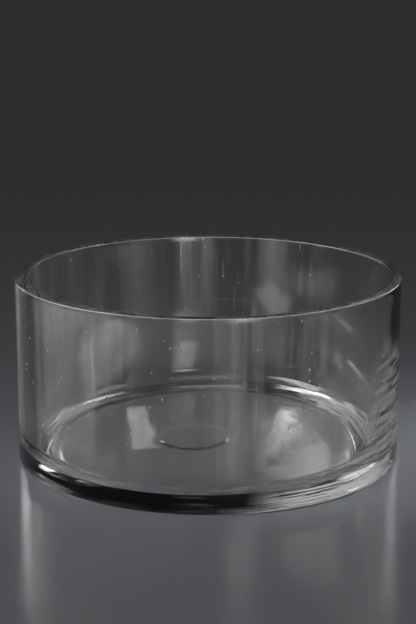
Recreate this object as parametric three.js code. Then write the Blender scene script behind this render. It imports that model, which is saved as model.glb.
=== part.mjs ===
// Crystallizing dish: a straight-sided, flat-bottomed round dish made in one piece of clear glass.
// Millimetres, +Z up. The origin is the centre of the plane that the dish stands on.
// The whole dish is one profile turned about the Z axis.
import * as THREE from 'three';

// Driving dimensions
const OUTER_DIAMETER = 190;
const HEIGHT = 91;

// Wall: thickens from the rim down to the heel, all of it on the inside
const RIM_WALL = 5.3;
const HEEL_WALL = 9;

// Rim: cut flat and level, with both edges bevelled
const RIM_BEVEL = 0.5;

// Heel: the rounded corner between wall and floor, inside and outside
const INNER_HEEL_RADIUS = 10;
const OUTER_HEEL_RADIUS = 1.5;

// Floor: thickness at the heel, and how much the inner face rises towards the middle
const FLOOR_THICKNESS = 5.2;
const FLOOR_CROWN = 0.6;

// Underside: a flat ring to stand on, a shallow recess inside it, and a low round button in the middle,
// which stays clear of the standing plane
const STANDING_RING_WIDTH = 13.5;
const RECESS_DEPTH = 0.8;
const RECESS_SHOULDER = 6;
const BUTTON_RADIUS = 19;
const BUTTON_DROP = 0.45;
const BUTTON_SHOULDER = 3;

// Fineness of the turned surface
const SEGMENTS_AROUND = 96;
const ARC_STEPS = 6;
const SHOULDER_STEPS = 3;

const outerRadius = OUTER_DIAMETER / 2;
const standingRadius = outerRadius - OUTER_HEEL_RADIUS;
const recessRadius = standingRadius - STANDING_RING_WIDTH;
const heelRadius = outerRadius - HEEL_WALL;
const rimRadius = outerRadius - RIM_WALL;
const floorRadius = heelRadius - INNER_HEEL_RADIUS;

// Points on a circular arc about (r, z), angles in degrees from the outward radial direction.
function arc(r, z, radius, fromAngle, toAngle) {
  const points = [];
  for (let step = 0; step <= ARC_STEPS; step += 1) {
    const angle = THREE.MathUtils.degToRad(fromAngle + (toAngle - fromAngle) * step / ARC_STEPS);
    points.push(new THREE.Vector2(r + radius * Math.cos(angle), z + radius * Math.sin(angle)));
  }
  return points;
}

// Points on a smooth S-shaped step from one radius and height to another.
function shoulder(fromRadius, fromHeight, toRadius, toHeight) {
  const points = [];
  for (let step = 0; step <= SHOULDER_STEPS; step += 1) {
    const share = step / SHOULDER_STEPS;
    const rise = (1 - Math.cos(Math.PI * share)) / 2;
    const r = fromRadius + (toRadius - fromRadius) * share;
    points.push(new THREE.Vector2(r, fromHeight + (toHeight - fromHeight) * rise));
  }
  return points;
}

// Underside, from the axis out to the edge of the standing ring.
function underside() {
  const buttonHeight = RECESS_DEPTH - BUTTON_DROP;
  return [
    new THREE.Vector2(0, buttonHeight),
    ...shoulder(BUTTON_RADIUS - BUTTON_SHOULDER, buttonHeight, BUTTON_RADIUS, RECESS_DEPTH),
    ...shoulder(recessRadius - RECESS_SHOULDER, RECESS_DEPTH, recessRadius, 0),
  ];
}

// Outer heel and wall, then the flat rim between its two bevels.
function outerWallAndRim() {
  return [
    ...arc(standingRadius, OUTER_HEEL_RADIUS, OUTER_HEEL_RADIUS, -90, 0),
    new THREE.Vector2(outerRadius, HEIGHT - RIM_BEVEL),
    new THREE.Vector2(outerRadius - RIM_BEVEL, HEIGHT),
    new THREE.Vector2(rimRadius + RIM_BEVEL, HEIGHT),
    new THREE.Vector2(rimRadius, HEIGHT - RIM_BEVEL),
  ];
}

// Inner heel and floor, ending on the axis.
function innerHeelAndFloor() {
  const heelTop = FLOOR_THICKNESS + INNER_HEEL_RADIUS;
  return [
    ...arc(floorRadius, heelTop, INNER_HEEL_RADIUS, 0, -90),
    new THREE.Vector2(floorRadius / 2, FLOOR_THICKNESS + FLOOR_CROWN * 0.75),
    new THREE.Vector2(0, FLOOR_THICKNESS + FLOOR_CROWN),
  ];
}

function makeDish() {
  const profile = [...underside(), ...outerWallAndRim(), ...innerHeelAndFloor()];
  const geometry = new THREE.LatheGeometry(profile, SEGMENTS_AROUND);
  geometry.rotateX(Math.PI / 2);
  const clearGlass = new THREE.MeshStandardMaterial({
    color: 0xdfe4e2,
    roughness: 0.05,
    metalness: 0,
    transparent: true,
    opacity: 0.35,
  });
  const mesh = new THREE.Mesh(geometry, clearGlass);
  mesh.name = 'dish';
  return mesh;
}

const dish = new THREE.Group();
dish.add(makeDish());

export default dish;
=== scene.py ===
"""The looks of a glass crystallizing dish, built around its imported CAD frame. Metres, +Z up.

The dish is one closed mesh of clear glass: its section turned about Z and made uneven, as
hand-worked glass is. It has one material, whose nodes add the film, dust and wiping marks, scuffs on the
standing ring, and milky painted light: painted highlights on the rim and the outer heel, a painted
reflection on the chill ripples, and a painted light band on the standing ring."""
import math

import bpy
import numpy as np
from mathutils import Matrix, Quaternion, Vector


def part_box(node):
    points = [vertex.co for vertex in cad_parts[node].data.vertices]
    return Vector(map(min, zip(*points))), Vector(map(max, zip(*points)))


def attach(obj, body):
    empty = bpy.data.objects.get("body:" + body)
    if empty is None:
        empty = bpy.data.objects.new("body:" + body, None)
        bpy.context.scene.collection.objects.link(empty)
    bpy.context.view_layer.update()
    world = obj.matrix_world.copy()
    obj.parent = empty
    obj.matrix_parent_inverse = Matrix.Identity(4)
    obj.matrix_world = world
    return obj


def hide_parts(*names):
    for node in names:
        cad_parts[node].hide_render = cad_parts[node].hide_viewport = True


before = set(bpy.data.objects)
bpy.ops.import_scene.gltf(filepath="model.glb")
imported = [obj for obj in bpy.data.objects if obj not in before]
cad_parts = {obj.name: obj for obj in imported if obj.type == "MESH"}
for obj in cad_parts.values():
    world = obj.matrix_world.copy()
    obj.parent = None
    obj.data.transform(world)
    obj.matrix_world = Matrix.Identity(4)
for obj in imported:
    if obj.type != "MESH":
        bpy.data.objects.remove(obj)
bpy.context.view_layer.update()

MM = 0.001

# The dish's outer size comes from the frame; the rest are the glass's own thicknesses and radii.
node_low, node_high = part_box("dish")
OUTER_RADIUS = (node_high.x - node_low.x) / 2
HEIGHT = node_high.z - node_low.z
RIM_WALL = 5.3 * MM
HEEL_WALL = 9 * MM
RIM_ARRIS = 0.36 * MM
INNER_HEEL = 10 * MM
OUTER_HEEL = 1.5 * MM
FLOOR_THICKNESS = 5.2 * MM
FLOOR_CROWN = 0.6 * MM
STANDING_RING = 13.5 * MM
RECESS_DEPTH = 0.8 * MM
RECESS_SHOULDER = 6 * MM
BUTTON_RADIUS = 19 * MM
BUTTON_DROP = 0.45 * MM
BUTTON_SHOULDER = 3 * MM

# Radii where the parts of the section meet
STANDING_EDGE = OUTER_RADIUS - OUTER_HEEL
RECESS_EDGE = STANDING_EDGE - STANDING_RING
RIM_EDGE = OUTER_RADIUS - RIM_WALL
HEEL_EDGE = OUTER_RADIUS - HEEL_WALL
FLOOR_EDGE = HEEL_EDGE - INNER_HEEL

# Fineness of the mesh round the dish, and the radius of the fan of triangles at each end of the section
SEGMENTS = 384
POLE_RADIUS = 1.5 * MM

# How uneven the glass is. The bore leans, so the wall is thicker on one side at the rim and on the other
# side at the heel. Both sides of the wall have upright draw lines, the outside has level chill ripples,
# the inner heel and floor have faint rings, and both sides of the floor have low waves.
RIM_OFFSET = 0.9 * MM
HEEL_OFFSET = -1.2 * MM
FLOOR_OFFSET = -2.4 * MM
BUTTON_OFFSET = -7 * MM
DRAW_LINE_DEPTH = 0.03 * MM
DRAW_LINE_PEAK = 2.2
DRAW_LINE_START = 14 * MM
BORE_LINE_GAIN = 1.6
FLOOR_WAVE_DEPTH = 0.022 * MM
FLOOR_WAVE_COUNT = 9
FLOOR_WAVE_LENGTHS = (28 * MM, 75 * MM)
FLOOR_RING_DEPTH = 0.03 * MM
FLOOR_RING_PITCH = 3.3 * MM
FLOOR_RING_START = (56 * MM, 72 * MM)
HEEL_RING_DEPTH = 0.03 * MM
HEEL_RING_PITCH = 2.9 * MM
HEEL_RING_WANDER = 1.5
CHILL_DEPTH = 0.14 * MM
CHILL_PITCH = 6.4 * MM
CHILL_START = (3 * MM, 9 * MM)
CHILL_CLIMB = (8 * MM, 30 * MM)
CHILL_FADE = 48 * MM
CHILL_TOP = 66 * MM
CHILL_MIDDLE_LOW = math.radians(-34)
CHILL_MIDDLE_HIGH = math.radians(-14)
CHILL_SPREAD_LOW = math.radians(30)
CHILL_SPREAD_HIGH = math.radians(13)

# How far below the rim the draw lines start to fade and are gone, and the width over which the waves
# fade towards the edge of the floor and of the recess
OUTSIDE_RIM_CALM = (12 * MM, 1 * MM)
BORE_RIM_CALM = (8 * MM, 2 * MM)
FLOOR_CALM = 8 * MM
RECESS_CALM = 6 * MM

# One seed for each surface that is made uneven at random
OUTSIDE_SEED = 11
BORE_SEED = 23
FLOOR_SEED = 5
UNDERSIDE_SEED = 6

# The glass: its surface is almost colourless, and its depth is grey
REFRACTIVE_INDEX = 1.474
GLASS_TINT = (0.99, 0.99, 0.985, 1)
DEPTH_COLOUR = (0.64, 0.635, 0.625, 1)
DEPTH_DENSITY = 24

# How milky and how rough each kind of mark makes the glass, where the mark is at its strongest. The
# milkiness is partly a painted highlight on the arrises and partly a painted light band on the standing
# ring, and it is a painted highlight on the outer heel and a painted reflection on the chill ripples.
HAZE = {
    "film": 0.14,
    "bands": 0.07,
    "drips": 0.15,
    "wipes": 0.25,
    "frost_and_highlight": 0.3,
    "wear_and_light_band": 0.7,
    "heel_highlight": 0.95,
    "ripple_reflection": 0.32,
    "specks": 0.3,
}
ROUGHNESS = {
    "film": 0.08,
    "drips": 0.2,
    "wipes": 0.35,
    "frost_and_highlight": 0.3,
    "wear_and_light_band": 0.4,
    "heel_highlight": 0.4,
    "ripple_reflection": 0.35,
    "specks": 0.4,
}

# Where marks begin and end on the dish. Each pair is the stretch over which a mark fades in or out,
# as a height, a radius, or a distance right, left or forward of the middle.
HEEL_ZONE_TOP = (12 * MM, 24 * MM)
CLEANER_RIGHT = (50 * MM, 78 * MM)
DUSTIER_LEFT = (78 * MM, 90 * MM)
OUTER_SKIN = (92.5 * MM, 94 * MM)
# Where the painted reflection on the chill ripples fades in and out
RIPPLE_REFLECTION_TOP = (50 * MM, 66 * MM)
RIPPLE_REFLECTION_FRONT = (8 * MM, 20 * MM)
STANDING_FACE = (0.6 * MM, 1.6 * MM)
# The scuffed standing ring, whose milkiness also makes a painted light band
STANDING_WEAR_AND_LIGHT_BAND = (RECESS_EDGE, RECESS_EDGE + 3 * MM)
# Where the painted highlight on the outer heel fades in and out
HEEL_HIGHLIGHT_SIDE = (79 * MM, 93 * MM)
HEEL_HIGHLIGHT_SKIN = (91.5 * MM, 92.5 * MM)
HEEL_HIGHLIGHT_TOP = (7.5 * MM, 11.5 * MM)
ARRIS_FOOT = (HEIGHT - 1.2 * RIM_ARRIS, HEIGHT - 1.0 * RIM_ARRIS)
WALL_TOP = (HEIGHT - 1.5 * RIM_ARRIS, HEIGHT - 0.5 * RIM_ARRIS)

# The painted reflection streaks begin this far round to the right, as a cosine, and further round the
# higher up.
RIPPLE_REFLECTION_SIDE = (0.74, 0.84)
RIPPLE_REFLECTION_LEAN = 1.5

# The rim's arrises, frosted all round and milkier at the front and back as a painted highlight: how far
# round to the front or back, as a sine, the painted highlight starts, how strong the frosting is at the
# sides, and how much the arrises' faces point up
ARRIS_HIGHLIGHT_FACING = (0.2, 0.7)
ARRIS_HIGHLIGHT_AT_SIDES = 0.15
ARRIS_STEEPEST = (0.05, 0.2)
ARRIS_FLATTEST = (0.93, 0.99)

# The direction in which the painted highlight on the outer heel is strongest
HEEL_HIGHLIGHT_RIGHT = 0.68
HEEL_HIGHLIGHT_FORWARD = 0.73

# The share of the dust that is missing at the right and added at the left, and the share of the film
# that is left between its patches
DUST_SWING = 0.9
THIN_FILM = 0.3

# How strong the wiping marks are in the middle, and how much stronger they grow towards the right
WIPES_AT_MIDDLE = 0.45
WIPES_PER_METRE = 7.0

# Specks: where the edge of a dot fades, as a share of its cell, and the share of cells without one
SPECK_EDGE = (0.05, 0.12)
EMPTY_CELLS = 0.4

# The floor under the dish, the pale cards that lie on it, and the light of the room
FLOOR_HALF_WIDTH = 9.0
FLOOR_DROP = 0.2 * MM
FLOOR_COLOUR = (0.51, 0.535, 0.57, 1)
FLOOR_ROUGHNESS = 0.16
FLOOR_SPECULAR = 0.14
CARD_HEIGHT = 2 * MM
CARD_COLOUR = (1, 0.93, 0.87)
ROOM_COLOUR = (0.93, 0.96, 1.0, 1)
ROOM_STRENGTH = 0.035

# The camera, as solved from the ellipses of the rim and the base
CAMERA_PLACE = (0, -0.770, 0.261)
CAMERA_DOWNWARD = 13.87
CAMERA_LENS = 92.3
CAMERA_SENSOR = 36


def smooth(low, high, x):
    """0 below low, 1 above high, and a smooth S between them."""
    t = np.clip((x - low) / (high - low), 0, 1)
    return t * t * (3 - 2 * t)


def arc(r, z, radius, start, end, steps):
    """Stations on a circular arc about (r, z); angles in degrees from the outward direction."""
    angles = np.radians(np.linspace(start, end, steps + 1))
    return [(r + radius * math.cos(a), z + radius * math.sin(a)) for a in angles]


def line(r0, z0, r1, z1, steps):
    """Stations between two points, without either end."""
    shares = np.linspace(0, 1, steps + 1)[1:-1]
    return [(r0 + (r1 - r0) * t, z0 + (z1 - z0) * t) for t in shares]


def underside_height(r):
    """Height of the underside above the standing plane, at a radius, before the button is added."""
    crown = FLOOR_CROWN * np.clip(1 - (r / RECESS_EDGE) ** 2, 0, 1)
    return (RECESS_DEPTH + crown) * (1 - smooth(RECESS_EDGE - RECESS_SHOULDER, RECESS_EDGE, r))


def floor_height(r):
    """Height of the inner floor, at a radius: a low crown in the middle."""
    return FLOOR_THICKNESS + FLOOR_CROWN * (1 - (r / FLOOR_EDGE) ** 2)


def profile():
    """Stations (radius, height) round the section of the glass, and the stretch each belongs to.
    The last number of each stretch says how many steps or stations it has."""
    top = HEIGHT - RIM_ARRIS
    heel_top = FLOOR_THICKNESS + INNER_HEEL
    under_radii = np.linspace(POLE_RADIUS, STANDING_EDGE - 0.4 * MM, 60)
    floor_radii = np.linspace(FLOOR_EDGE - 1 * MM, POLE_RADIUS, 46)
    stretches = {
        "under": [(r, underside_height(r)) for r in under_radii],
        "outer_heel": arc(STANDING_EDGE, OUTER_HEEL, OUTER_HEEL, -90, 0, 7),
        "outer_wall": line(OUTER_RADIUS, OUTER_HEEL, OUTER_RADIUS, CHILL_TOP, 54)
        + line(OUTER_RADIUS, CHILL_TOP, OUTER_RADIUS, top, 9),
        "rim": arc(OUTER_RADIUS - RIM_ARRIS, top, RIM_ARRIS, 0, 90, 5)
        + line(OUTER_RADIUS - RIM_ARRIS, HEIGHT, RIM_EDGE + RIM_ARRIS, HEIGHT, 5)
        + arc(RIM_EDGE + RIM_ARRIS, top, RIM_ARRIS, 90, 180, 5),
        "inner_wall": line(RIM_EDGE, top, HEEL_EDGE, heel_top, 30),
        "inner_heel": arc(FLOOR_EDGE, heel_top, INNER_HEEL, 0, -90, 24),
        "floor": [(r, floor_height(r)) for r in floor_radii],
    }
    stations = [p for points in stretches.values() for p in points]
    names = [name for name, points in stretches.items() for _ in points]
    return np.array(stations), np.array(names)


def harmonics(theta, orders, seed, falloff):
    """A sum of cosines round the dish, weaker at the higher orders, between about -1 and 1."""
    rng = np.random.default_rng(seed)
    total = np.zeros_like(theta)
    power = 0.0
    for k in orders:
        strength = rng.uniform(0.3, 1.0) * k ** -falloff
        total += strength * np.cos(k * theta + rng.uniform(0, 2 * math.pi))
        power += strength ** 2
    return total / math.sqrt(2 * power)


def draw_lines(theta, z, seed):
    """Upright streaks left by drawing and turning the glass, drifting a little with height."""
    broad = harmonics(theta + 0.5 * z, range(3, 14), seed, 0.6)
    fine = harmonics(theta - 0.3 * z, range(17, 61, 4), seed + 1, 1.0)
    return 0.75 * broad + 0.25 * fine


def chill_ripples(theta, z):
    """Level ripples where the hot glass met a cold mould, on one side of the dish only. They reach far
    round it at the heel and less far higher up. From -1 to 0."""
    climb = smooth(*CHILL_CLIMB, z)
    middle = CHILL_MIDDLE_LOW + (CHILL_MIDDLE_HIGH - CHILL_MIDDLE_LOW) * climb
    spread = CHILL_SPREAD_LOW + (CHILL_SPREAD_HIGH - CHILL_SPREAD_LOW) * climb
    away = np.angle(np.exp(1j * (theta - middle))) / spread
    band = smooth(*CHILL_START, z) * (1 - smooth(CHILL_FADE, CHILL_TOP, z))
    drift = 0.9 * np.sin(2 * theta + 30 * z)
    return np.exp(-away ** 2) * band * (np.cos(2 * math.pi * z / CHILL_PITCH + drift) - 1) / 2


def floor_waves(x, y, seed):
    """Low, broad waves over the floor, each with its own heading, length and phase."""
    rng = np.random.default_rng(seed)
    total = np.zeros_like(x)
    for _ in range(FLOOR_WAVE_COUNT):
        heading = rng.uniform(0, math.pi)
        length = rng.uniform(*FLOOR_WAVE_LENGTHS)
        phase = rng.uniform(0, 2 * math.pi)
        total += np.cos(2 * math.pi * (x * math.cos(heading) + y * math.sin(heading)) / length + phase)
    return total / math.sqrt(FLOOR_WAVE_COUNT)


def floor_rings(theta, r):
    """Faint rings near the edge of the floor."""
    ripple = np.cos(2 * math.pi * r / FLOOR_RING_PITCH + np.sin(2 * theta))
    return FLOOR_RING_DEPTH * ripple * smooth(*FLOOR_RING_START, r)


def calm_below_rim(z, margins):
    """1 on the wall, fading to 0 close to the rim."""
    start, end = margins
    return 1 - smooth(HEIGHT - start, HEIGHT - end, z)


def bore_offset(on, stations, r, z):
    """How far the inner surface is moved along X: the bore leans, and the floor lies off the middle."""
    up = (z - HEIGHT) / HEIGHT + 1
    lean = HEEL_OFFSET + (RIM_OFFSET - HEEL_OFFSET) * np.clip(up, 0, 1)
    across_rim = smooth(OUTER_RADIUS - RIM_ARRIS, RIM_EDGE, stations[:, :1])
    inside = np.where(on("inner_wall", "inner_heel"), 1, np.where(on("rim"), across_rim, 0))
    turn_in = np.clip((HEEL_EDGE - r) / INNER_HEEL, 0, 1)
    offset = lean + (FLOOR_OFFSET - HEEL_OFFSET) * np.where(on("inner_heel"), turn_in, 0)
    return np.where(on("floor"), FLOOR_OFFSET, offset * inside)


def glass_points():
    """The worked glass surface: the section turned about Z, with its unevenness. Rings by segments by 3."""
    stations, names = profile()
    theta = np.linspace(0, 2 * math.pi, SEGMENTS, endpoint=False)[None, :] + 0 * stations[:, :1]
    r = stations[:, :1] + 0 * theta
    z = stations[:, 1:] + 0 * theta

    def on(*stretches):
        return np.isin(names, stretches)[:, None]

    # The outer wall is only ever worked inwards, so it stays inside the CAD box.
    calm = smooth(OUTER_HEEL, DRAW_LINE_START, z) * calm_below_rim(z, OUTSIDE_RIM_CALM)
    outside = draw_lines(theta, z, OUTSIDE_SEED) - DRAW_LINE_PEAK
    r = r + np.where(on("outer_wall"), calm * DRAW_LINE_DEPTH * outside, 0)
    r = r + np.where(on("outer_wall"), CHILL_DEPTH * chill_ripples(theta, z), 0)
    offset = bore_offset(on, stations, r, z)

    # Draw lines run down the bore and round the inner heel, where rings stand square to its curve.
    bore_lines = BORE_LINE_GAIN * DRAW_LINE_DEPTH * draw_lines(theta, z, BORE_SEED)
    bore_lines = bore_lines * calm_below_rim(z, BORE_RIM_CALM)
    turn = np.arctan2(z - FLOOR_THICKNESS - INNER_HEEL, r - FLOOR_EDGE)
    phase = 2 * math.pi * (INNER_HEEL * turn / HEEL_RING_PITCH) + HEEL_RING_WANDER * np.sin(theta)
    heel_rings = HEEL_RING_DEPTH * np.cos(phase) * np.sin(2 * turn)
    z = z + np.where(on("inner_heel"), heel_rings * np.sin(turn), 0)
    r = r + np.where(on("inner_heel"), heel_rings * np.cos(turn), 0)
    r = r + np.where(on("inner_wall", "inner_heel"), bore_lines, 0)

    # Waves and rings on the floor, waves in the recess under it, and the button off the middle
    x = r * np.cos(theta) + offset
    y = r * np.sin(theta)
    inside_floor = 1 - smooth(FLOOR_EDGE - FLOOR_CALM, FLOOR_EDGE, r)
    floor_relief = FLOOR_WAVE_DEPTH * floor_waves(x, y, FLOOR_SEED) + floor_rings(theta, r)
    z = z + np.where(on("floor"), inside_floor * floor_relief, 0)
    flat_edge = RECESS_EDGE - RECESS_SHOULDER
    in_recess = 1 - smooth(flat_edge - RECESS_CALM, flat_edge, r)
    z = z + np.where(on("under"), in_recess * FLOOR_WAVE_DEPTH * floor_waves(x, y, UNDERSIDE_SEED), 0)
    from_button = np.hypot(x - BUTTON_OFFSET, y)
    button = 1 - smooth(BUTTON_RADIUS - BUTTON_SHOULDER, BUTTON_RADIUS, from_button)
    z = z - np.where(on("under"), BUTTON_DROP * button, 0)
    return np.stack([x, y, z], axis=2)


def make_glass():
    """One closed mesh of rings, with a fan of triangles at each end of the section."""
    rings = glass_points()
    count = len(rings)
    low_pole = rings[0].mean(axis=0).tolist()
    high_pole = rings[-1].mean(axis=0).tolist()
    points = rings.reshape(-1, 3).tolist() + [low_pole, high_pole]
    here = np.arange(SEGMENTS)
    after = (here + 1) % SEGMENTS
    faces = []
    for ring in range(count - 1):
        a = ring * SEGMENTS
        b = a + SEGMENTS
        faces += np.stack([a + here, a + after, b + after, b + here], axis=1).tolist()
    last = (count - 1) * SEGMENTS
    low = count * SEGMENTS
    faces += [[low, int(n), int(h)] for h, n in zip(here, after)]
    faces += [[low + 1, last + int(h), last + int(n)] for h, n in zip(here, after)]
    mesh = bpy.data.meshes.new("glass_dish")
    mesh.from_pydata(points, [], faces)
    mesh.validate()
    mesh.shade_smooth()
    piece = bpy.data.objects.new("glass_dish", mesh)
    bpy.context.scene.collection.objects.link(piece)
    return piece


class Nodes:
    """Short names for building one material's node tree."""

    def __init__(self, tree):
        self.tree = tree

    def add(self, kind, **settings):
        node = self.tree.nodes.new(kind)
        for name, value in settings.items():
            setattr(node, name, value)
        return node

    def join(self, source, target):
        if isinstance(source, bpy.types.NodeSocket):
            self.tree.links.new(source, target)
        else:
            target.default_value = source

    def math(self, operation, a, b=0.0, clamp=False):
        node = self.add("ShaderNodeMath", operation=operation, use_clamp=clamp)
        self.join(a, node.inputs[0])
        self.join(b, node.inputs[1])
        return node.outputs[0]

    def product(self, first, *others):
        for other in others:
            first = self.math("MULTIPLY", first, other)
        return first

    def rise(self, value, low, high):
        """0 below low, 1 above high, and a smooth S between them."""
        node = self.add("ShaderNodeMapRange", interpolation_type="SMOOTHSTEP")
        self.join(value, node.inputs["Value"])
        node.inputs["From Min"].default_value = low
        node.inputs["From Max"].default_value = high
        return node.outputs["Result"]

    def fall(self, value, low, high):
        """1 below low, 0 above high."""
        return self.math("SUBTRACT", 1.0, self.rise(value, low, high))

    def split(self, vector):
        """A vector's three components."""
        node = self.add("ShaderNodeSeparateXYZ")
        self.join(vector, node.inputs[0])
        return node.outputs

    def stretch(self, vector, scale):
        node = self.add("ShaderNodeVectorMath", operation="MULTIPLY")
        self.join(vector, node.inputs[0])
        node.inputs[1].default_value = scale
        return node.outputs[0]

    def marks(self, vector, scale, low, high, detail, roughness=0.5):
        """Marks where a noise is high: none where it is below low, in full where it is above high."""
        node = self.add("ShaderNodeTexNoise")
        self.join(self.stretch(vector, scale), node.inputs["Vector"])
        node.inputs["Scale"].default_value = 1
        node.inputs["Detail"].default_value = detail
        node.inputs["Roughness"].default_value = roughness
        return self.rise(node.outputs["Fac"], low, high)

    def weighted_sum(self, masks, weights):
        """The masks added up, each times its weight, and held between 0 and 1."""
        total = 0.0
        for name, weight in weights.items():
            total = self.math("ADD", total, self.math("MULTIPLY", masks[name], weight), clamp=True)
        return total


class Surface:
    """Where a shaded point lies on the dish, for the marks to be placed by."""

    def __init__(self, n):
        self.place = n.add("ShaderNodeTexCoord").outputs["Object"]
        self.x, self.y, self.z = n.split(self.place)
        squares = n.math("ADD", n.product(self.x, self.x), n.product(self.y, self.y))
        self.radius = n.math("SQRT", squares)
        self.cosine = n.math("DIVIDE", self.x, self.radius)
        self.sine = n.math("DIVIDE", self.y, self.radius)
        self.leftward = n.math("MULTIPLY", self.x, -1.0)
        self.forward = n.math("MULTIPLY", self.y, -1.0)
        # A space for streaks that run round the dish
        around = n.add("ShaderNodeCombineXYZ")
        n.join(n.math("ADD", self.radius, self.z), around.inputs[0])
        n.join(self.cosine, around.inputs[1])
        n.join(self.sine, around.inputs[2])
        self.around = around.outputs[0]


def wall_marks(n, at, heel_zone):
    """Dried film in fine upright streaks and broad bands, drips, and specks of dust. All of them are on
    the wall above the heel and below the rim, weaker at the right of the dish and stronger at its left."""
    wall = n.product(n.math("SUBTRACT", 1.0, heel_zone), n.fall(at.z, *WALL_TOP))
    cleaner = n.product(n.rise(at.x, *CLEANER_RIGHT), DUST_SWING)
    dustier = n.product(n.rise(at.leftward, *DUSTIER_LEFT), DUST_SWING)
    dusty_wall = n.product(wall, n.math("ADD", n.math("SUBTRACT", 1.0, cleaner), dustier))
    patches = n.marks(at.place, scale=(16, 16, 10), low=0.42, high=0.68, detail=2)
    patchy = n.math("ADD", n.product(patches, 1 - THIN_FILM), THIN_FILM)
    film = n.marks(at.place, scale=(110, 110, 4), low=0.46, high=0.72, detail=4, roughness=0.6)
    drips = n.marks(at.place, scale=(420, 420, 5), low=0.62, high=0.74, detail=2, roughness=0.6)
    bands = n.marks(at.place, scale=(42, 42, 1.5), low=0.48, high=0.62, detail=2)
    return {
        "film": n.product(film, dusty_wall, patchy),
        "drips": n.product(drips, dusty_wall, patches),
        "bands": n.product(bands, dusty_wall),
        "specks": n.product(specks(n, at), dusty_wall),
    }


def specks(n, at):
    """Specks of dust: a small dot in some of the cells of a Voronoi pattern."""
    cells = n.add("ShaderNodeTexVoronoi")
    n.join(n.stretch(at.place, (210, 210, 150)), cells.inputs["Vector"])
    cells.inputs["Scale"].default_value = 1
    dot = n.fall(cells.outputs["Distance"], *SPECK_EDGE)
    chance = n.add("ShaderNodeSeparateColor")
    n.join(cells.outputs["Color"], chance.inputs[0])
    return n.product(dot, n.math("GREATER_THAN", chance.outputs[0], EMPTY_CELLS))


def wiping_marks(n, at, heel_zone):
    """Fine streaks round the floor and the heel, more of them towards the right."""
    streaks = n.marks(at.around, scale=(900, 2.6, 2.6), low=0.5, high=0.72, detail=3, roughness=0.65)
    broad = n.marks(at.around, scale=(60, 3, 3), low=0.38, high=0.66, detail=2)
    rightward = n.math("ADD", WIPES_AT_MIDDLE, n.product(at.x, WIPES_PER_METRE), clamp=True)
    return n.product(streaks, broad, n.product(heel_zone, rightward))


def painted_ripple_reflection(n, at):
    """A painted reflection: slanted milky streaks on the chill ripples of the outer wall, at the front
    right.
    """
    side = n.rise(n.math("SUBTRACT", at.cosine, n.product(at.z, RIPPLE_REFLECTION_LEAN)), *RIPPLE_REFLECTION_SIDE)
    outer_wall = n.product(side, n.rise(at.radius, *OUTER_SKIN), n.fall(at.z, *RIPPLE_REFLECTION_TOP))
    front = n.product(outer_wall, n.rise(at.forward, *RIPPLE_REFLECTION_FRONT))
    streaks = n.marks(at.around, scale=(330, 2.2, 2.2), low=0.47, high=0.60, detail=2, roughness=0.45)
    return n.product(streaks, front)


def arris_frost_and_highlight(n, at):
    """The bevelled edges of the rim, frosted all round, with a painted highlight that makes them milkier at
    the front and back than at the sides.
    """
    upright = n.split(n.add("ShaderNodeNewGeometry").outputs["Normal"])[2]
    slope = n.product(n.rise(upright, *ARRIS_STEEPEST), n.fall(upright, *ARRIS_FLATTEST))
    at_rim = n.product(slope, n.rise(at.z, *ARRIS_FOOT))
    # Milkier towards the front and back: a painted highlight
    facing = n.rise(n.math("ABSOLUTE", at.sine), *ARRIS_HIGHLIGHT_FACING)
    return n.product(at_rim, n.math("ADD", ARRIS_HIGHLIGHT_AT_SIDES, n.product(facing, 1 - ARRIS_HIGHLIGHT_AT_SIDES)))


def standing_wear_and_light_band(n, at):
    """Scuffs on the ring that the dish stands on, in worn stretches, whose milkiness also serves as a
    painted light band along the base of the dish.
    """
    ring = n.product(n.rise(at.radius, *STANDING_WEAR_AND_LIGHT_BAND), n.fall(at.z, *STANDING_FACE))
    scuffs = n.marks(at.around, scale=(700, 1.8, 1.8), low=0.30, high=0.62, detail=4, roughness=0.65)
    worn = n.marks(at.around, scale=(1, 1.3, 1.3), low=0.38, high=0.62, detail=1)
    return n.product(ring, scuffs, worn)


def painted_heel_highlight(n, at):
    """A painted highlight: milky streaks round the outer heel, at the front right."""
    rightward = n.product(at.x, HEEL_HIGHLIGHT_RIGHT)
    front_right = n.math("ADD", rightward, n.product(at.forward, HEEL_HIGHLIGHT_FORWARD))
    outer_heel = n.product(n.rise(at.radius, *HEEL_HIGHLIGHT_SKIN), n.fall(at.z, *HEEL_HIGHLIGHT_TOP))
    streaks = n.marks(at.around, scale=(1500, 2.4, 2.4), low=0.40, high=0.53, detail=4, roughness=0.7)
    return n.product(n.rise(front_right, *HEEL_HIGHLIGHT_SIDE), outer_heel, streaks)


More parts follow.
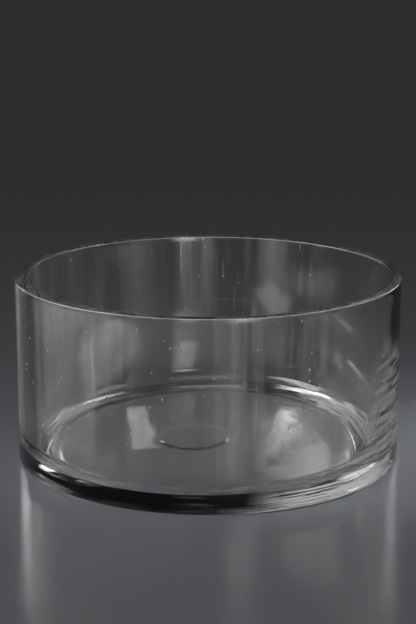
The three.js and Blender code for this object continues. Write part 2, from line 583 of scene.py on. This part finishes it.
def clear_glass():
    """Clear glass with a grey depth of colour. Marks make it a little milky and rough where they lie; some
    of that milkiness is painted light, as painted highlights on the rim and outer heel, a painted
    reflection on the chill ripples and a painted light band on the standing ring.
    """
    material = bpy.data.materials.new("clear_glass")
    material.use_nodes = True
    tree = material.node_tree
    n = Nodes(tree)
    at = Surface(n)
    heel_zone = n.fall(at.z, *HEEL_ZONE_TOP)
    masks = wall_marks(n, at, heel_zone)
    masks["wipes"] = wiping_marks(n, at, heel_zone)
    # Milky marks that are painted light: a painted reflection on the chill ripples, a painted highlight on
    # the rim's arrises, a painted light band on the scuffed standing ring and a painted highlight on the
    # outer heel
    masks["ripple_reflection"] = painted_ripple_reflection(n, at)
    masks["frost_and_highlight"] = arris_frost_and_highlight(n, at)
    masks["wear_and_light_band"] = standing_wear_and_light_band(n, at)
    masks["heel_highlight"] = painted_heel_highlight(n, at)

    shader = tree.nodes["Principled BSDF"]
    shader.inputs["Base Color"].default_value = GLASS_TINT
    shader.inputs["IOR"].default_value = REFRACTIVE_INDEX
    haze = n.weighted_sum(masks, HAZE)
    n.join(n.math("SUBTRACT", 1.0, haze), shader.inputs["Transmission Weight"])
    n.join(n.weighted_sum(masks, ROUGHNESS), shader.inputs["Roughness"])

    volume = n.add("ShaderNodeVolumeAbsorption")
    volume.inputs["Color"].default_value = DEPTH_COLOUR
    volume.inputs["Density"].default_value = DEPTH_DENSITY
    n.join(volume.outputs["Volume"], tree.nodes["Material Output"].inputs["Volume"])
    return material


def make_floor():
    """A plain, slightly glossy floor, a hair below the standing plane so that the two never coincide."""
    w = FLOOR_HALF_WIDTH
    mesh = bpy.data.meshes.new("floor")
    mesh.from_pydata([(-w, -w, 0), (w, -w, 0), (w, w, 0), (-w, w, 0)], [], [(0, 1, 2, 3)])
    floor = bpy.data.objects.new("floor", mesh)
    floor.location.z = -FLOOR_DROP
    bpy.context.scene.collection.objects.link(floor)
    material = bpy.data.materials.new("pale_floor")
    material.use_nodes = True
    shader = material.node_tree.nodes["Principled BSDF"]
    shader.inputs["Base Color"].default_value = FLOOR_COLOUR
    shader.inputs["Roughness"].default_value = FLOOR_ROUGHNESS
    shader.inputs["Specular IOR Level"].default_value = FLOOR_SPECULAR
    mesh.materials.append(material)


def soften_edges(data, edge):
    """Fade a lamp from nothing at its outline to full strength, over a share of its width and height."""
    data.use_nodes = True
    nodes = data.node_tree.nodes
    links = data.node_tree.links
    place = nodes.new("ShaderNodeNewGeometry")
    split = nodes.new("ShaderNodeSeparateXYZ")
    links.new(place.outputs["Parametric"], split.inputs[0])
    both = nodes.new("ShaderNodeMath")
    both.operation = "MULTIPLY"
    for index, side in enumerate(("X", "Y")):
        from_edge = nodes.new("ShaderNodeMath")
        from_edge.operation = "PINGPONG"
        from_edge.inputs[1].default_value = 0.5
        links.new(split.outputs[side], from_edge.inputs[0])
        fade = nodes.new("ShaderNodeMapRange")
        fade.interpolation_type = "SMOOTHSTEP"
        fade.inputs["From Max"].default_value = edge
        links.new(from_edge.outputs[0], fade.inputs["Value"])
        links.new(fade.outputs["Result"], both.inputs[index])
    links.new(both.outputs[0], nodes["Emission"].inputs["Strength"])


def softbox(name, location, target, size, radiance, edge=0.25, only=None, colour=(1, 1, 1), spin=0):
    """A rectangular lamp with soft edges, unseen by the camera, turned to face a target and then spun
    by some degrees about the line to it. Where a collection is given, only its objects are lit."""
    width, height = size
    data = bpy.data.lights.new(name, "AREA")
    data.shape = "RECTANGLE"
    data.size = width
    data.size_y = height
    data.energy = radiance * math.pi * width * height
    data.color = colour
    soften_edges(data, edge)
    lamp = bpy.data.objects.new(name, data)
    lamp.location = location
    facing = (Vector(target) - Vector(location)).to_track_quat("-Z", "Y")
    lamp.rotation_euler = (facing @ Quaternion((0, 0, 1), math.radians(spin))).to_euler()
    lamp.visible_camera = False
    lamp.light_linking.receiver_collection = only
    bpy.context.scene.collection.objects.link(lamp)


def make_lights(glass):
    """One lamp over everything, and lamps for the dish alone, which stand in for the windows and pale
    walls of a room. Each lamp's last number is its radiance, so its brightness doesn't change with its
    size."""
    dish_only = bpy.data.collections.new("dish_only")
    dish_only.objects.link(glass)

    def dish_lamp(name, location, target, size, radiance, **look):
        softbox(name, location, target, size, radiance, only=dish_only, **look)

    def card(name, x, y, size, radiance, **look):
        """A pale card lying on the floor, seen only in the glass."""
        dish_lamp(name, (x, y, CARD_HEIGHT), (x, y, 1), size, radiance, colour=CARD_COLOUR, **look)

    softbox("overhead", (0.0, -0.32, 0.75), (0, -0.25, 0), (0.6, 0.4), 1.45)

    # Windows at the left and right and behind on both sides, and a low light in front
    wall = (0, 0, 50 * MM)
    dish_lamp("left_bank", (-0.685, -0.05, 0.575), wall, (0.9, 0.42), 12.0)
    dish_lamp("right_bank", (0.70, 0.05, 0.55), wall, (0.7, 0.4), 2.6)
    dish_lamp("rear_left", (-0.66, 0.92, 0.42), wall, (0.45, 0.26), 6.0)
    dish_lamp("rear_right", (0.62, 0.95, 0.485), wall, (0.6, 0.19), 6.0, edge=0.2)
    dish_lamp("rear_right_inner", (0.33, 1.10, 0.49), wall, (0.32, 0.18), 0.7, edge=0.2)
    dish_lamp("front_low", (0.12, -0.37, 0.10), (0.06, -0.07, 0.01), (0.20, 0.18), 12.5, edge=0.5)

    # Far lamps that the floor of the dish mirrors as two pale patches
    base = (0, 0, 0)
    dish_lamp("back_left", (-0.253, 3.0, 0.961), base, (0.107, 0.207), 0.95, edge=0.12, spin=10)
    dish_lamp("back_right", (0.456, 3.0, 0.944), base, (0.34, 0.20), 0.5, edge=0.45)
    dish_lamp("back_right_edge", (0.320, 3.0, 0.976), base, (0.10, 0.236), 1.1, edge=0.15, spin=-18)
    dish_lamp("back_right_core", (0.388, 3.0, 0.911), base, (0.155, 0.09), 2.2, edge=0.5)

    card("left_card", -0.44, -0.10, (0.3, 0.6), 1.3, edge=0.45)
    card("right_card", 0.42, -0.20, (0.3, 0.4), 0.8, edge=0.45)
    card("left_card_near", -0.27, -0.22, (0.16, 0.24), 2.0)

    world = bpy.data.worlds.new("room")
    bpy.context.scene.world = world
    world.use_nodes = True
    background = world.node_tree.nodes["Background"]
    background.inputs["Color"].default_value = ROOM_COLOUR
    background.inputs["Strength"].default_value = ROOM_STRENGTH


def make_camera():
    """The photograph's viewpoint: in front of the dish and a little above it."""
    data = bpy.data.cameras.new("camera")
    data.sensor_width = CAMERA_SENSOR
    data.lens = CAMERA_LENS
    camera = bpy.data.objects.new("camera", data)
    camera.location = CAMERA_PLACE
    camera.rotation_euler = (math.radians(90 - CAMERA_DOWNWARD), 0, 0)
    bpy.context.scene.collection.objects.link(camera)
    bpy.context.scene.camera = camera


make_camera()
glass = make_glass()
glass.data.materials.append(clear_glass())
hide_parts("dish")
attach(glass, "root")
make_floor()
make_lights(glass)

# Light crosses many faces of glass before it leaves the dish, so its paths are allowed to be long.
scene = bpy.context.scene
scene.view_settings.view_transform = "Standard"
scene.cycles.max_bounces = 32
scene.cycles.transmission_bounces = 32
scene.cycles.glossy_bounces = 8
